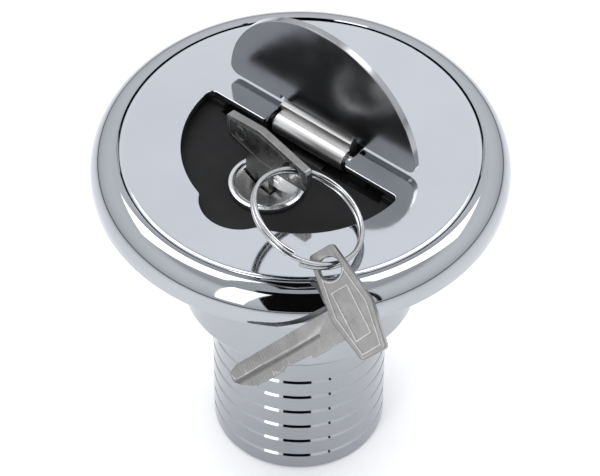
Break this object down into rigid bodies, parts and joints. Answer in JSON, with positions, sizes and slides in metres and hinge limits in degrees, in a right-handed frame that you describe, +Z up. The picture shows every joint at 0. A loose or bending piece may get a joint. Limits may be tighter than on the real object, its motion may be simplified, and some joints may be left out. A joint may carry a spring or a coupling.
{
  "type": "deck fill cap",
  "caption": "Locking boat deck fill cap: chromed round flange with a grooved hose tail, and a lift-out cap with a hinged half-round flap and a key lock.",
  "frame": {"origin": "on the fitting's axis, in the plane of the flange's underside, which rests on the deck", "axes": "+Z up out of the deck along the fitting's axis, +X along the flap's hinge pin, -Y towards the half-round opening and the finger lobe"},
  "size_m": [0.0923, 0.094, 0.1114],
  "materials": {
    "chrome": "mirror-bright plated",
    "polished_stainless": "polished sheet",
    "brushed_steel": "brushed",
    "nickel_silver": "satin stamped",
    "ring_steel": "bright drawn wire",
    "black_plastic": "satin moulded",
    "seal_rubber": "matt",
    "wafer_brass": "plain stamped"
  },
  "bodies": {
    "deck_body": {"deck_body": "chrome"},
    "cap_seal": {"cap_seal": "seal_rubber"},
    "cap": {"cap_cover": "polished_stainless", "cap_insert": "black_plastic", "cover_nut_1": "brushed_steel", "cover_nut_2": "brushed_steel", "cover_nut_3": "brushed_steel", "hinge_pin": "brushed_steel", "flap_spring": "brushed_steel", "lock_barrel": "chrome", "lock_nut": "brushed_steel"},
    "flap": {"flap": "polished_stainless"},
    "lock_plug": {"lock_plug": "chrome", "wafer_1": "wafer_brass", "wafer_2": "wafer_brass", "wafer_3": "wafer_brass", "wafer_4": "wafer_brass", "wafer_5": "wafer_brass", "wafer_spring_1": "brushed_steel", "wafer_spring_2": "brushed_steel", "wafer_spring_3": "brushed_steel", "wafer_spring_4": "brushed_steel", "wafer_spring_5": "brushed_steel", "lock_cam": "brushed_steel", "cam_washer": "brushed_steel", "cam_screw": "brushed_steel"},
    "lock_key": {"lock_key": "nickel_silver"},
    "key_ring": {"key_ring": "ring_steel"},
    "spare_key": {"spare_key": "nickel_silver"}
  },
  "joints": [
    {"name": "cap_lift", "type": "slide", "parent": "deck_body", "child": "cap_seal", "axis": [0, 0, 1], "range_m": [0, 0.055]},
    {"name": "cap_turn", "type": "hinge", "parent": "cap_seal", "child": "cap", "pos_m": [0, 0, 0], "axis": [0, 0, -1], "range_deg": [0, 75]},
    {"name": "flap_hinge", "type": "hinge", "parent": "cap", "child": "flap", "pos_m": [0, 0.0053, 0.0047], "axis": [-1, 0, 0], "range_deg": [-45, 0]},
    {"name": "key_turn", "type": "hinge", "parent": "cap", "child": "lock_plug", "pos_m": [0, -0.0112, 0], "axis": [0, 0, -1], "range_deg": [0, 90]},
    {"name": "key_withdraw", "type": "slide", "parent": "lock_plug", "child": "lock_key", "axis": [0, 0, 1], "range_m": [0, 0.03]},
    {"name": "ring_swing", "type": "hinge", "parent": "lock_key", "child": "key_ring", "pos_m": [0.00833, -0.01232, 0.0156], "axis": [-0.1329, -0.9911, 0], "range_deg": [0, 40]},
    {"name": "spare_key_swing", "type": "hinge", "parent": "key_ring", "child": "spare_key", "pos_m": [0.02913, -0.02632, 0.01174], "axis": [0.1075, -0.7001, 0.706], "range_deg": [0, 60]}
  ]
}
